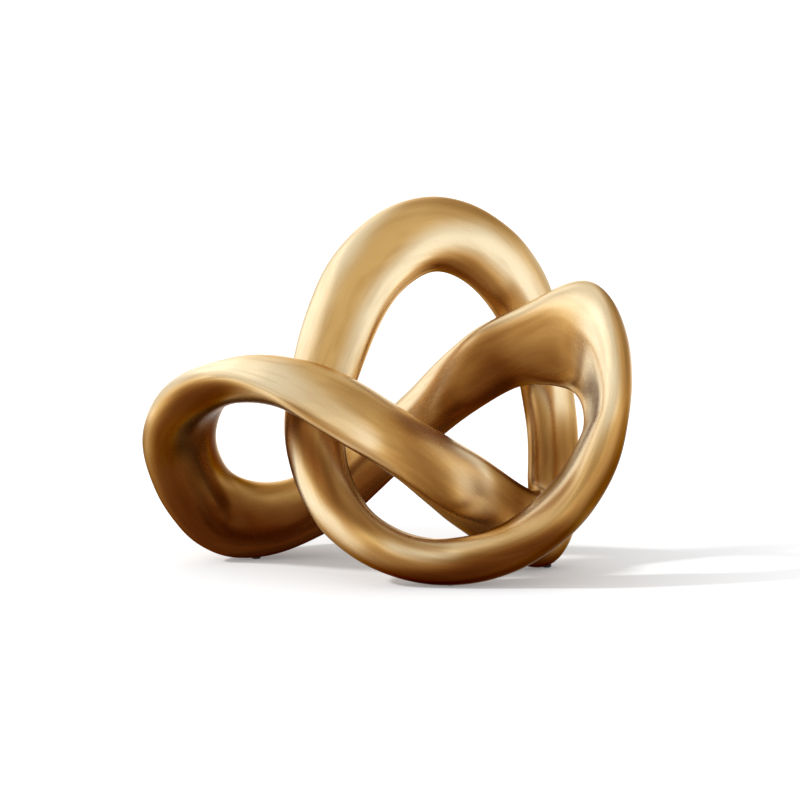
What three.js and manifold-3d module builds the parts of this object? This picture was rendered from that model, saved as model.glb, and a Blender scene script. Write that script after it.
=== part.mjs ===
// Twisted braid sculpture: one closed, satin gold metal band tied in a trefoil knot.
// The band is cast in eight open lengths. A knotted closed loop can't leave a mould in one piece.
// Steel dowels line the lengths up end to end, and three rubber pads under the band carry it.
// Millimetres, +Z up, front facing -Y, origin at the middle of the underside.
import * as THREE from 'three';
import { mergeVertices } from 'three/addons/utils/BufferGeometryUtils.js';
import Module from 'manifold-3d';

// Driving dimensions
const CENTRELINE_WIDTH = 256;
const CENTRELINE_DEPTH = 118;
const CENTRELINE_HEIGHT = 191;
const BAND_WIDTH = 70;
const BAND_THICKNESS = 30;
const FIT = 0.3;
const SIDES = 24;
const RING_STEP = 9.5;
const DOWEL_DIAMETER = 8;
const DOWEL_LENGTH = 36;
const DOWEL_CHAMFER = 1;
const DOWEL_SIDES = 16;
const BORE_SPARE = 1;
const PAD_DIAMETER = 6;
const PAD_HEIGHT = 3.4;
const PAD_PROUD = 0.2;
const PAD_ROUND = 0.6;
const PAD_SIDES = 24;

// The band, station by station along the closed loop: over the arch, down the rear leg to its foot,
// up the front diagonal, round the left loop, up the rear strand to the right hand peak,
// down round the front ring and up the front leg to the arch again.
// Each row: name, middle of the section, direction across it (towards its first edge),
// width, thickness, bulge of the face and crispness of the first edge.
// The rows give the shape; the driving dimensions above stretch it to size.
const STATIONS = [
  ['crown', [30, 25, 205], [0.14, -0.42, -0.90], 49, 28, 0, 0],
  ['shoulder', [75, 35, 181], [-0.64, -0.44, -0.63], 45, 28, 0, 0],
  ['leg_high', [96, 37, 135], [-0.84, -0.51, -0.15], 38, 27, 0, 0],
  ['leg_low', [105, 29, 85], [-0.86, -0.51, 0.02], 34, 27, 0, 0],
  ['heel', [106, 23, 54], [-0.87, -0.46, 0.18], 35, 28, 0, 0],
  ['foot', [104, 15, 35], [-0.61, -0.23, 0.76], 39, 29, 0, 0],
  ['foot_base', [96, 5, 24], [-0.19, -0.04, 0.98], 48, 30, 0, 0],
  ['toe', [83, -2, 28], [0.18, 0.13, 0.98], 46, 30, 0, 0],
  ['diag_low', [60, -15, 44], [0.35, 0.35, 0.87], 46, 30, 0, 0],
  ['diag_mid', [14, -41, 80], [0.18, 0.66, 0.73], 44, 22, 0, 0],
  ['diag_high', [-34, -61, 112], [0.22, 0.78, 0.59], 45, 22, -3, -0.2],
  ['left_top', [-89, -49, 126], [0.37, 0.92, 0.11], 45, 25, -6, -0.25],
  ['left_turn', [-112, -26, 109], [0.66, 0.72, 0.23], 61, 30, 1, 0.05],
  ['left_side', [-124, 14, 71], [0.56, 0.57, 0.60], 60, 23, -2, 0.1],
  ['left_base', [-100, 45, 27], [0.03, 0.71, 0.71], 63, 25, 0, 0.1],
  ['under', [-53, 57, 28], [-0.23, 0.79, 0.56], 54, 25, 0, 0],
  ['rise_low', [-9, 47, 60], [-0.43, 0.57, 0.70], 38, 24, 0, 0],
  ['rise_high', [28, 23, 96], [-0.56, 0.28, 0.78], 36, 22, 0, 0],
  ['band', [71, 1, 131], [-0.55, -0.14, 0.82], 45, 21, 2, 0],
  ['band_end', [95, -10, 141], [-0.12, -0.15, 0.98], 54, 25, 3, 0],
  ['peak', [121, -24, 144], [0.12, -0.28, 0.95], 70, 30, 8, 0.1],
  ['turn', [129, -32, 131], [0.21, -0.44, 0.87], 61, 26, 6, 0.1],
  ['fall', [132, -41, 112], [0.27, -0.60, 0.75], 50, 22, 4, 0.1],
  ['side', [129, -49, 93], [0.26, -0.76, 0.59], 39, 24, 3, 0.15],
  ['ring_right', [108, -54, 49], [0.01, -1.00, 0.01], 40, 29, 1, 0.2],
  ['ring_base', [29, -53, 14], [0.02, -0.71, 0.71], 28, 27, 0, 0],
  ['ring_left', [-21, -49, 37], [0.47, -0.63, 0.61], 34, 26, 0, 0],
  ['leg_front', [-41, -33, 86], [0.85, -0.49, 0.20], 40, 26, 0, 0],
  ['arch_left', [-31, -15, 138], [0.91, -0.38, -0.13], 45, 26, 0, 0],
  ['arch_rise', [-10, 7, 182], [0.81, -0.37, -0.45], 49, 28, 0, 0],
];

// Joints between neighbouring castings: after which station, and how far on towards the next one.
const JOINTS = {
  front_leg_to_arch: ['leg_front', 0.5],
  arch_to_rear_leg: ['leg_high', 0],
  rear_leg_to_diagonal: ['toe', 0.5],
  diagonal_to_left_loop: ['diag_high', 0],
  left_loop_to_riser: ['under', 0],
  riser_to_right_band: ['rise_low', 0.5],
  right_band_to_ring: ['side', 0.5],
  ring_to_front_leg: ['ring_left', 0.5],
};

// Castings: name, joint where it starts, joint where it ends.
const CASTINGS = [
  ['arch_casting', 'front_leg_to_arch', 'arch_to_rear_leg'],
  ['rear_leg_casting', 'arch_to_rear_leg', 'rear_leg_to_diagonal'],
  ['diagonal_casting', 'rear_leg_to_diagonal', 'diagonal_to_left_loop'],
  ['left_loop_casting', 'diagonal_to_left_loop', 'left_loop_to_riser'],
  ['riser_casting', 'left_loop_to_riser', 'riser_to_right_band'],
  ['right_band_casting', 'riser_to_right_band', 'right_band_to_ring'],
  ['ring_casting', 'right_band_to_ring', 'ring_to_front_leg'],
  ['front_leg_casting', 'ring_to_front_leg', 'front_leg_to_arch'],
];

// Rubber pads, each under the lowest point of a casting.
const PADS = [
  ['ring_pad', 'ring_casting'],
  ['rear_pad', 'rear_leg_casting'],
  ['left_pad', 'left_loop_casting'],
];

const gold = new THREE.MeshStandardMaterial({ color: 0xb0894a, roughness: 0.36, metalness: 1 });
const steel = new THREE.MeshStandardMaterial({ color: 0xa9acb0, roughness: 0.3, metalness: 1 });
const rubber = new THREE.MeshStandardMaterial({ color: 0x1b1a19, roughness: 0.9, metalness: 0 });

// Smooth closed curve through the stations, with its slope and bend both continuous.
const COUNT = STATIONS.length;
const spread = (numbers) => Math.max(...numbers) - Math.min(...numbers);
const stretch = new THREE.Vector3(
  CENTRELINE_WIDTH / spread(STATIONS.map((row) => row[1][0])),
  CENTRELINE_DEPTH / spread(STATIONS.map((row) => row[1][1])),
  CENTRELINE_HEIGHT / spread(STATIONS.map((row) => row[1][2])),
);
const widen = BAND_WIDTH / Math.max(...STATIONS.map((row) => row[3]));
const thicken = BAND_THICKNESS / Math.max(...STATIONS.map((row) => row[4]));
const centres = STATIONS.map((row) => new THREE.Vector3(...row[1]).multiply(stretch));
const spans = centres.map((point, i) => point.distanceTo(centres[(i + 1) % COUNT]));
const values = STATIONS.map(([, , across, width, thickness, bulge, crisp], i) => {
  const unit = new THREE.Vector3(...across).normalize();
  return [...centres[i], ...unit, width * widen, thickness * thicken, bulge * thicken, crisp];
});

function closedSlopes() {
  const slopes = values.map((row) => row.map(() => 0));
  for (let sweep = 0; sweep < 80; sweep++) {
    for (let i = 0; i < COUNT; i++) {
      const back = (i + COUNT - 1) % COUNT;
      const next = (i + 1) % COUNT;
      const before = spans[back];
      const after = spans[i];
      for (let c = 0; c < values[i].length; c++) {
        const riseIn = (values[i][c] - values[back][c]) / before;
        const riseOut = (values[next][c] - values[i][c]) / after;
        const wanted = 3 * (after * riseIn + before * riseOut);
        slopes[i][c] = (wanted - after * slopes[back][c] - before * slopes[next][c]) / (2 * (before + after));
      }
    }
  }
  return slopes;
}

const slopes = closedSlopes();

// The band's section at a place along the loop, counted in stations.
function sectionAt(place) {
  const whole = Math.floor(place);
  const i = ((whole % COUNT) + COUNT) % COUNT;
  const next = (i + 1) % COUNT;
  const u = place - whole;
  const h = spans[i];
  const at = [];
  const rate = [];
  for (let c = 0; c < values[i].length; c++) {
    const a = values[i][c];
    const b = values[next][c];
    const p = slopes[i][c] * h;
    const q = slopes[next][c] * h;
    at.push(a + u * p + u * u * (3 * (b - a) - 2 * p - q) + u * u * u * (2 * (a - b) + p + q));
    rate.push(p + 2 * u * (3 * (b - a) - 2 * p - q) + 3 * u * u * (2 * (a - b) + p + q));
  }
  const along = new THREE.Vector3(rate[0], rate[1], rate[2]).normalize();
  const across = new THREE.Vector3(at[3], at[4], at[5]).normalize();
  const face = new THREE.Vector3().crossVectors(across, along).normalize();
  return {
    middle: new THREE.Vector3(at[0], at[1], at[2]),
    across,
    face,
    forward: new THREE.Vector3().crossVectors(face, across),
    halfWidth: at[6] / 2,
    halfThickness: at[7] / 2,
    bulge: at[8],
    crisp: at[9],
  };
}

// Outline of a section, moved along the band by a small distance.
function outline(section, moved) {
  const points = [];
  for (let k = 0; k < SIDES; k++) {
    const turn = (k / SIDES) * 2 * Math.PI;
    const x = section.halfWidth * Math.cos(turn);
    const body = section.halfThickness * Math.sin(turn) * (1 - section.crisp * Math.cos(turn));
    const y = body + section.bulge * Math.sin(turn) ** 2;
    const point = section.middle.clone();
    point.addScaledVector(section.across, x);
    point.addScaledVector(section.face, y);
    point.addScaledVector(section.forward, moved);
    points.push(point);
  }
  return points;
}

function heart(section, moved) {
  const point = section.middle.clone();
  point.addScaledVector(section.face, section.bulge);
  return point.addScaledVector(section.forward, moved);
}

function placeOf(joint) {
  const [station, share] = JOINTS[joint];
  return STATIONS.findIndex((row) => row[0] === station) + share;
}

// Places of the outlines between two joints, evenly stepped inside each span.
function placesBetween(from, to) {
  const places = [from];
  const end = to > from ? to : to + COUNT;
  for (let whole = Math.floor(from); whole < end; whole++) {
    const steps = Math.max(2, Math.round(spans[whole % COUNT] / RING_STEP));
    for (let k = 0; k < steps; k++) {
      const place = whole + k / steps;
      const clear = 0.4 / steps;
      if (place > from + clear && place < end - clear) {
        places.push(place);
      }
    }
  }
  places.push(end);
  return places;
}

// One open length of the band with flat ends, stopping half a fit short of each joint.
function bandGeometry(from, to) {
  const places = placesBetween(from, to);
  const last = places.length - 1;
  const positions = [];
  const index = [];
  places.forEach((place, i) => {
    const moved = i === 0 ? FIT / 2 : i === last ? -FIT / 2 : 0;
    outline(sectionAt(place), moved).forEach((point) => positions.push(...point));
  });
  positions.push(...heart(sectionAt(places[0]), FIT / 2));
  positions.push(...heart(sectionAt(places[last]), -FIT / 2));
  const firstHeart = places.length * SIDES;
  for (let i = 0; i < last; i++) {
    for (let k = 0; k < SIDES; k++) {
      const a = i * SIDES + k;
      const b = i * SIDES + ((k + 1) % SIDES);
      index.push(a, a + SIDES, b + SIDES);
      index.push(a, b + SIDES, b);
    }
  }
  for (let k = 0; k < SIDES; k++) {
    const next = (k + 1) % SIDES;
    index.push(firstHeart, k, next);
    index.push(firstHeart + 1, last * SIDES + next, last * SIDES + k);
  }
  const geometry = new THREE.BufferGeometry();
  geometry.setAttribute('position', new THREE.Float32BufferAttribute(positions, 3));
  geometry.setIndex(index);
  return geometry;
}

const wasm = await Module();
wasm.setup();

function toSolid(geometry) {
  const bare = geometry.clone();
  bare.deleteAttribute('normal');
  bare.deleteAttribute('uv');
  const merged = mergeVertices(bare, 1e-4);
  return new wasm.Manifold(new wasm.Mesh({
    numProp: 3,
    vertProperties: new Float32Array(merged.attributes.position.array),
    triVerts: new Uint32Array(merged.index.array),
  }));
}

function toGeometry(solid) {
  const mesh = solid.getMesh();
  const geometry = new THREE.BufferGeometry();
  geometry.setAttribute('position', new THREE.Float32BufferAttribute(mesh.vertProperties, 3));
  geometry.setIndex([...mesh.triVerts]);
  geometry.computeVertexNormals();
  return geometry;
}

// A joint's dowel lies along the band, in the middle of its thickness.
function jointPose(joint) {
  const section = sectionAt(placeOf(joint));
  const turned = new THREE.Quaternion();
  turned.setFromUnitVectors(new THREE.Vector3(0, 1, 0), section.forward);
  return new THREE.Matrix4().compose(heart(section, 0), turned, new THREE.Vector3(1, 1, 1));
}

function dowelGeometry() {
  const r = DOWEL_DIAMETER / 2;
  const half = DOWEL_LENGTH / 2;
  const profile = [
    new THREE.Vector2(0, -half),
    new THREE.Vector2(r - DOWEL_CHAMFER, -half),
    new THREE.Vector2(r, -half + DOWEL_CHAMFER),
    new THREE.Vector2(r, half - DOWEL_CHAMFER),
    new THREE.Vector2(r - DOWEL_CHAMFER, half),
    new THREE.Vector2(0, half),
  ];
  return new THREE.LatheGeometry(profile, DOWEL_SIDES);
}

function dowelBore(joint) {
  const r = DOWEL_DIAMETER / 2 + FIT;
  const bore = new THREE.CylinderGeometry(r, r, DOWEL_LENGTH + 2 * BORE_SPARE, DOWEL_SIDES);
  return toSolid(bore.applyMatrix4(jointPose(joint)));
}

// Rubber pad: a glued-in disc with a rounded rim, standing on the ground and held in a round recess.
function padGeometry() {
  const r = PAD_DIAMETER / 2;
  const profile = [
    new THREE.Vector2(0, 0),
    new THREE.Vector2(r - PAD_ROUND, 0),
    new THREE.Vector2(r - 0.3 * PAD_ROUND, 0.3 * PAD_ROUND),
    new THREE.Vector2(r, PAD_ROUND),
    new THREE.Vector2(r, PAD_HEIGHT),
    new THREE.Vector2(0, PAD_HEIGHT),
  ];
  return new THREE.LatheGeometry(profile, PAD_SIDES).rotateX(Math.PI / 2);
}

function padRecess(place) {
  const r = PAD_DIAMETER / 2 + FIT;
  const top = PAD_HEIGHT + FIT;
  const recess = new THREE.CylinderGeometry(r, r, 2 * top, PAD_SIDES).rotateX(Math.PI / 2);
  return toSolid(recess.translate(place.x, place.y, place.z));
}

function lowestPoint(geometry) {
  const points = geometry.attributes.position;
  let low = 0;
  for (let i = 1; i < points.count; i++) {
    if (points.getZ(i) < points.getZ(low)) {
      low = i;
    }
  }
  return new THREE.Vector3().fromBufferAttribute(points, low);
}

const lengths = new Map();
for (const [name, start, end] of CASTINGS) {
  lengths.set(name, bandGeometry(placeOf(start), placeOf(end)));
}
const lowest = PADS.map(([, owner]) => lowestPoint(lengths.get(owner)));
const ground = Math.min(...lowest.map((point) => point.z)) - PAD_PROUD;

const sculpture = new THREE.Group();

for (const [name, start, end] of CASTINGS) {
  let solid = toSolid(lengths.get(name)).subtract(dowelBore(start)).subtract(dowelBore(end));
  PADS.forEach(([, owner], i) => {
    if (owner === name) {
      solid = solid.subtract(padRecess(lowest[i].clone().setZ(ground)));
    }
  });
  const casting = new THREE.Mesh(toGeometry(solid), gold);
  casting.name = name;
  sculpture.add(casting);
}

PADS.forEach(([name], i) => {
  const pad = new THREE.Mesh(padGeometry(), rubber);
  pad.name = name;
  pad.position.set(lowest[i].x, lowest[i].y, ground);
  sculpture.add(pad);
});

for (const joint of Object.keys(JOINTS)) {
  const dowel = new THREE.Mesh(dowelGeometry(), steel);
  dowel.name = `${joint}_dowel`;
  dowel.applyMatrix4(jointPose(joint));
  sculpture.add(dowel);
}

// The origin is under the middle of the whole sculpture, on the ground.
const box = new THREE.Box3().setFromObject(sculpture);
sculpture.position.set(-(box.min.x + box.max.x) / 2, -(box.min.y + box.max.y) / 2, -box.min.z);
sculpture.updateMatrixWorld(true);

export default sculpture;
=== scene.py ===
# %% [markdown]
# # Twisted braid sculpture
# The object is a tabletop ornament: one closed metal band that twists as it runs and ties itself
# into a trefoil knot. It has a satin antique gold finish. Pale gold is painted where highlights
# fall, and brown, partly patina and partly painted shade, lies underneath and in the hollows.
# This lesson loads the plain solids first. They are the frame that every piece is fitted to.

# %% Load the solids and keep their box
import math
import bpy
import numpy as np
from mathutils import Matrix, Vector
from mathutils.bvhtree import BVHTree


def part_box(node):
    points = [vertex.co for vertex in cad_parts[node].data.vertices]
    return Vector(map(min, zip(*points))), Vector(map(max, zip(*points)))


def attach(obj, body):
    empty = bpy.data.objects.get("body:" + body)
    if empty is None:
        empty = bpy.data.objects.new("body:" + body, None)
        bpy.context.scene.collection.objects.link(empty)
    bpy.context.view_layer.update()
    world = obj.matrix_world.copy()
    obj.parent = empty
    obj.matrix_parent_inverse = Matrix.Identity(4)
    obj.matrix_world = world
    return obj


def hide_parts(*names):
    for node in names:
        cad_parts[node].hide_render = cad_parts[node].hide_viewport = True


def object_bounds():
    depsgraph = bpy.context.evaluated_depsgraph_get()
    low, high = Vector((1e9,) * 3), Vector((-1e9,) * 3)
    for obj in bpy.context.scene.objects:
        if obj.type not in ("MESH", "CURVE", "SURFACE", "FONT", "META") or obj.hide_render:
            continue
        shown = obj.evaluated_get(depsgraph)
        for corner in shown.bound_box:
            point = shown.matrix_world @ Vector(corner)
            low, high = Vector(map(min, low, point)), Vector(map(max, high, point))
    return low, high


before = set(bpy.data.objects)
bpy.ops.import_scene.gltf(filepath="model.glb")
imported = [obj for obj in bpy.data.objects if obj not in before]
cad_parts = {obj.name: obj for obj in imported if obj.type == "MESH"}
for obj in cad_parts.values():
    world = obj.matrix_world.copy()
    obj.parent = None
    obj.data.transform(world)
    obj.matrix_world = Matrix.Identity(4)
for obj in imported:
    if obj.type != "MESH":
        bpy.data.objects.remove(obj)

MM = 0.001
cad_low, cad_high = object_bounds()
print("solids:", len(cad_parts))
print("box from", [round(v, 4) for v in cad_low], "to", [round(v, 4) for v in cad_high])

# %% [markdown]
# ## The band's stations
# A sculptor would bend a wire along the whole knot and then decide, at each place, how wide the
# band is, how thick, and which way its flat side faces. The stations do the same in numbers.
# A curve with a bevel could give one constant section, but here the section changes all the way
# from a round rope to a broad cupped ribbon, so the band is lofted from its own sections.
# Each row holds the middle of the section, the direction across it, its width and thickness,
# how far the face bulges, and how crisp its first edge is. Lengths are in millimetres.

# %% Stations along the closed band
STATIONS = [
    ("crown", (30, 25, 205), (0.14, -0.42, -0.90), 49, 28, 0, 0),
    ("shoulder", (75, 35, 181), (-0.64, -0.44, -0.63), 45, 28, 0, 0),
    ("leg_high", (96, 37, 135), (-0.84, -0.51, -0.15), 38, 27, 0, 0),
    ("leg_low", (105, 29, 85), (-0.86, -0.51, 0.02), 34, 27, 0, 0),
    ("heel", (106, 23, 54), (-0.87, -0.46, 0.18), 35, 28, 0, 0),
    ("foot", (104, 15, 35), (-0.61, -0.23, 0.76), 39, 29, 0, 0),
    ("foot_base", (96, 5, 24), (-0.19, -0.04, 0.98), 48, 30, 0, 0),
    ("toe", (83, -2, 28), (0.18, 0.13, 0.98), 46, 30, 0, 0),
    ("diag_low", (60, -15, 44), (0.35, 0.35, 0.87), 46, 30, 0, 0),
    ("diag_mid", (14, -41, 80), (0.18, 0.66, 0.73), 44, 22, 0, 0),
    ("diag_high", (-34, -61, 112), (0.22, 0.78, 0.59), 45, 22, -3, -0.2),
    ("left_top", (-89, -49, 126), (0.37, 0.92, 0.11), 45, 25, -6, -0.25),
    ("left_turn", (-112, -26, 109), (0.66, 0.72, 0.23), 61, 30, 1, 0.05),
    ("left_side", (-124, 14, 71), (0.56, 0.57, 0.6), 60, 23, -2, 0.1),
    ("left_base", (-100, 45, 27), (0.03, 0.71, 0.71), 63, 25, 0, 0.1),
    ("under", (-53, 57, 28), (-0.23, 0.79, 0.56), 54, 25, 0, 0),
    ("rise_low", (-9, 47, 60), (-0.43, 0.57, 0.70), 38, 24, 0, 0),
    ("rise_high", (28, 23, 96), (-0.56, 0.28, 0.78), 36, 22, 0, 0),
    ("band", (71, 1, 131), (-0.55, -0.14, 0.82), 45, 21, 2, 0),
    ("band_end", (95, -10, 141), (-0.12, -0.15, 0.98), 54, 25, 3, 0),
    ("peak", (121, -24, 144), (0.12, -0.28, 0.95), 70, 30, 8, 0.1),
    ("turn", (129, -32, 131), (0.21, -0.44, 0.87), 61, 26, 6, 0.1),
    ("fall", (132, -41, 112), (0.27, -0.6, 0.75), 50, 22, 4, 0.1),
    ("side", (129, -49, 93), (0.26, -0.76, 0.59), 39, 24, 3, 0.15),
    ("ring_right", (108, -54, 49), (0.01, -1.00, 0.01), 40, 29, 1, 0.2),
    ("ring_base", (29, -53, 14), (0.02, -0.71, 0.71), 28, 27, 0, 0),
    ("ring_left", (-21, -49, 37), (0.47, -0.63, 0.61), 34, 26, 0, 0),
    ("leg_front", (-41, -33, 86), (0.85, -0.49, 0.20), 40, 26, 0, 0),
    ("arch_left", (-31, -15, 138), (0.91, -0.38, -0.13), 45, 26, 0, 0),
    ("arch_rise", (-10, 7, 182), (0.81, -0.37, -0.45), 49, 28, 0, 0),
]
NAMES = [row[0] for row in STATIONS]
COUNT = len(STATIONS)
print("stations:", COUNT)

# %% [markdown]
# ## One smooth closed curve
# Straight lines between the stations would kink. A closed cubic spline keeps both the slope and
# the bend continuous, which is what the eye follows in a polished reflection. The same spline
# carries the position, the direction across and the section's sizes, so all of them flow together.

# %% Spline through the stations
centres = np.array([row[1] for row in STATIONS], float) * MM
across = np.array([row[2] for row in STATIONS], float)
across /= np.linalg.norm(across, axis=1)[:, None]
sizes = np.array([[row[3] * MM, row[4] * MM, row[5] * MM, row[6]] for row in STATIONS], float)
rows = np.hstack([centres, across, sizes])
spans = np.linalg.norm(np.roll(centres, -1, 0) - centres, axis=1)


def closed_slopes():
    table = np.zeros((COUNT, COUNT))
    wanted = np.zeros_like(rows)
    for i in range(COUNT):
        before, after = spans[i - 1], spans[i]
        following = (i + 1) % COUNT
        table[i, i - 1] = after
        table[i, i] = 2 * (before + after)
        table[i, following] = before
        rise_in = (rows[i] - rows[i - 1]) / before
        rise_out = (rows[following] - rows[i]) / after
        wanted[i] = 3 * (after * rise_in + before * rise_out)
    return np.linalg.solve(table, wanted)


slopes = closed_slopes()


def along_band(place):
    i = int(math.floor(place)) % COUNT
    following = (i + 1) % COUNT
    u = place - math.floor(place)
    a, b = rows[i], rows[following]
    p, q = slopes[i] * spans[i], slopes[following] * spans[i]
    square = 3 * (b - a) - 2 * p - q
    cube = 2 * (a - b) + p + q
    value = a + u * p + u * u * square + u ** 3 * cube
    rate = p + 2 * u * square + 3 * u * u * cube
    return value, rate


print("length of the stations' chain: %.3f m" % spans.sum())

# %% [markdown]
# ## Sections lofted into a surface
# At each place a section is drawn across the band: an oval that can bulge to one side, like a
# cupped ribbon, and can have one crisp edge. The sections are close together, about two
# millimetres, so that the satin reflections stay smooth without a subdivision modifier.

# %% Loft the whole band as a grid of rings and sides
RING_STEP = 2.0 * MM
SIDES = 96

places = []
for i in range(COUNT):
    steps = 2 * max(1, round(spans[i] / RING_STEP / 2))
    for k in range(steps):
        places.append(i + k / steps)
places = np.array(places)
RINGS = len(places)
turn = np.linspace(0, 2 * np.pi, SIDES, endpoint=False)
cos_turn, sin_turn = np.cos(turn), np.sin(turn)

skin = np.zeros((RINGS, SIDES, 3))
spine = np.zeros((RINGS, 3))
for r, place in enumerate(places):
    at, rate = along_band(place)
    tangent = rate[:3] / np.linalg.norm(rate[:3])
    wide = at[3:6] / np.linalg.norm(at[3:6])
    face = np.cross(wide, tangent)
    face /= np.linalg.norm(face)
    width, thickness, bulge, crisp = at[6:]
    x = width / 2 * cos_turn
    y = thickness / 2 * sin_turn * (1 - crisp * cos_turn) + bulge * sin_turn ** 2
    skin[r] = at[:3] + x[:, None] * wide + y[:, None] * face
    spine[r] = at[:3] + bulge * face
print("rings:", RINGS, "sides:", SIDES)

# %% [markdown]
# ## Place the band on the frame
# The band stands on three rubber pads that are a hair lower than the metal. Its box is centred on
# the solids' box, so that the visual band and the solids share one place.

# %% Centre the band on the solids
PAD_PROUD = 0.2 * MM
low, high = skin.reshape(-1, 3).min(0), skin.reshape(-1, 3).max(0)
shift = (np.array(cad_low) + np.array(cad_high)) / 2 - (low + high) / 2
shift[2] = PAD_PROUD - low[2]
skin += shift
spine += shift
print("moved by mm:", [round(v / MM, 3) for v in shift])

# %% [markdown]
# ## A soft inner corner
# Where the band turns back at the peak, its inner face folds like a bent ribbon. On the real
# object that corner is a soft hollow. A smoothing brush could make it by hand. Here each point is
# moved again and again towards the middle of its two neighbours along the band, fully in the
# middle of the corner and not at all further away, so the result is the same each time.

# %% Ease the corner at the peak
CORNER_FROM, CORNER_TO = NAMES.index("band_end"), NAMES.index("side")
CORNER_ANGLE, CORNER_SPREAD = 272, 85
FULL_LENGTH, FULL_SPREAD = 0.4, 0.3
CORNER_ROUNDS = 240
CORNER_STEP = 0.5


def ramp(values, start, end):
    t = np.clip((np.asarray(values, float) - start) / (end - start), 0, 1)
    return t * t * (3 - 2 * t)


def degrees_from(angle):
    return np.abs((np.degrees(turn) - angle + 180) % 360 - 180)


mid_corner = (CORNER_FROM + CORNER_TO) / 2
half_corner = (CORNER_TO - CORNER_FROM) / 2
near = ramp(np.abs(places - mid_corner), half_corner, FULL_LENGTH * half_corner)
facing = ramp(degrees_from(CORNER_ANGLE), CORNER_SPREAD, FULL_SPREAD * CORNER_SPREAD)
ease = (near[:, None] * facing[None, :])[..., None]
folded = skin.copy()
for _ in range(CORNER_ROUNDS):
    between = (np.roll(skin, 1, 0) + np.roll(skin, -1, 0)) / 2
    skin += CORNER_STEP * ease * (between - skin)
print("corner moved up to mm: %.2f" % (np.linalg.norm(skin - folded, axis=2).max() / MM))

# %% [markdown]
# ## Hand finished unevenness
# The real casting was ground and polished by hand. Its faces waver by a few tenths of a
# millimetre, which shows as a slow drift in the reflections. It is made as real shape here, as
# a sum of long soft waves, and not only as a bump in the finish. Each row holds how fast a wave
# runs along x, y and z, in radians per metre, where it starts, and its height in millimetres.

# %% Waver the surface along its normals
WAVES = [
    ((90, 40, 60), 0.3, 0.16),
    ((-50, 110, 70), 1.7, 0.14),
    ((60, -80, 130), 4.1, 0.12),
    ((160, 90, -120), 2.6, 0.07),
    ((-130, 170, 150), 5.2, 0.05),
]
NEVER_ZERO = 1e-12


def grid_normals(points):
    ahead = np.roll(points, -1, 0) - np.roll(points, 1, 0)
    around = np.roll(points, -1, 1) - np.roll(points, 1, 1)
    crossed = np.cross(ahead, around)
    return crossed / (np.linalg.norm(crossed, axis=2)[..., None] + NEVER_ZERO)


waver = np.zeros((RINGS, SIDES))
for speed, phase, height in WAVES:
    waver += height * MM * np.sin(skin @ np.array(speed, float) + phase)
skin += grid_normals(skin) * waver[..., None]
normals = grid_normals(skin)
print("waver up to mm: %.2f" % (np.abs(waver).max() / MM))

# %% [markdown]
# ## Where strands shade each other
# Brown is put underneath and where strands pass close to each other. It is painted shade where
# light is blocked, and it also stands for the antique patina that stays where a cloth can't reach.
# Baking ambient occlusion would measure that into a picture. Here rays go out from a coarse set of
# points and tell how open the surroundings are, so that no picture is needed.

# %% Send out rays and count how many get away
COARSE_STEP = 6
RAYS = 60
REACH = 70 * MM
RAY_START = 0.4 * MM
LATE_HIT = 0.6
GOLDEN_ANGLE = math.pi * (3 - math.sqrt(5))


def band_quads(strips, rings):
    quads = []
    for r in range(strips):
        here, there = r * SIDES, (r + 1) % rings * SIDES
        for k in range(SIDES):
            n = (k + 1) % SIDES
            quads.append((here + k, there + k, there + n, here + n))
    return quads


tree = BVHTree.FromPolygons(skin.reshape(-1, 3).tolist(), band_quads(RINGS, RINGS))
dome = []
for k in range(RAYS):
    up = math.sqrt((k + 0.5) / RAYS)
    flat = math.sqrt(1 - up * up)
    dome.append((flat * math.cos(k * GOLDEN_ANGLE), flat * math.sin(k * GOLDEN_ANGLE), up))


def open_share(point, normal):
    side = normal.orthogonal().normalized()
    other = normal.cross(side)
    start = point + normal * RAY_START
    free = 0.0
    for a, b, c in dome:
        spot, _, _, distance = tree.ray_cast(start, side * a + other * b + normal * c, REACH)
        free += 1.0 if spot is None else LATE_HIT * distance / REACH
    return free / RAYS


coarse_rings = np.arange(0, RINGS, COARSE_STEP)
coarse_sides = np.arange(0, SIDES, COARSE_STEP)
openness = np.zeros((len(coarse_rings), len(coarse_sides)))
for i, r in enumerate(coarse_rings):
    for j, k in enumerate(coarse_sides):
        openness[i, j] = open_share(Vector(skin[r, k]), Vector(normals[r, k]))
print("openness from %.2f to %.2f" % (openness.min(), openness.max()))

# %% [markdown]
# ## From the coarse points to the whole grid
# Between the coarse points the openness is blended, first round the section and then along the
# band. It tells how far each place is a hollow. The normals tell how far it faces down.

# %% Hollows and undersides
OPEN, CLOSED = 0.8, 0.4
SIDEWAYS, DOWNWARD = -0.4, -0.9


def blend_between(at, count):
    lower = np.floor(at).astype(int)
    return lower % count, (lower + 1) % count, at - lower


ring_knots = np.append(coarse_rings, RINGS)
ring_at = np.interp(np.arange(RINGS), ring_knots, np.arange(len(ring_knots)))
ring_a, ring_b, ring_share = blend_between(ring_at, len(coarse_rings))
side_a, side_b, side_share = blend_between(np.arange(SIDES) / COARSE_STEP, len(coarse_sides))


def open_round(ring):
    first, second = openness[np.ix_(ring, side_a)], openness[np.ix_(ring, side_b)]
    return first * (1 - side_share) + second * side_share


ring_share = ring_share[:, None]
open_all = open_round(ring_a) * (1 - ring_share) + open_round(ring_b) * ring_share
# Hollows and undersides are where painted shade is laid, the hollows partly as patina.
hollow = ramp(open_all, OPEN, CLOSED)
underside = ramp(normals[..., 2], SIDEWAYS, DOWNWARD)
print("hollow share %.2f, underside share %.2f" % (hollow.mean(), underside.mean()))
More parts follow.
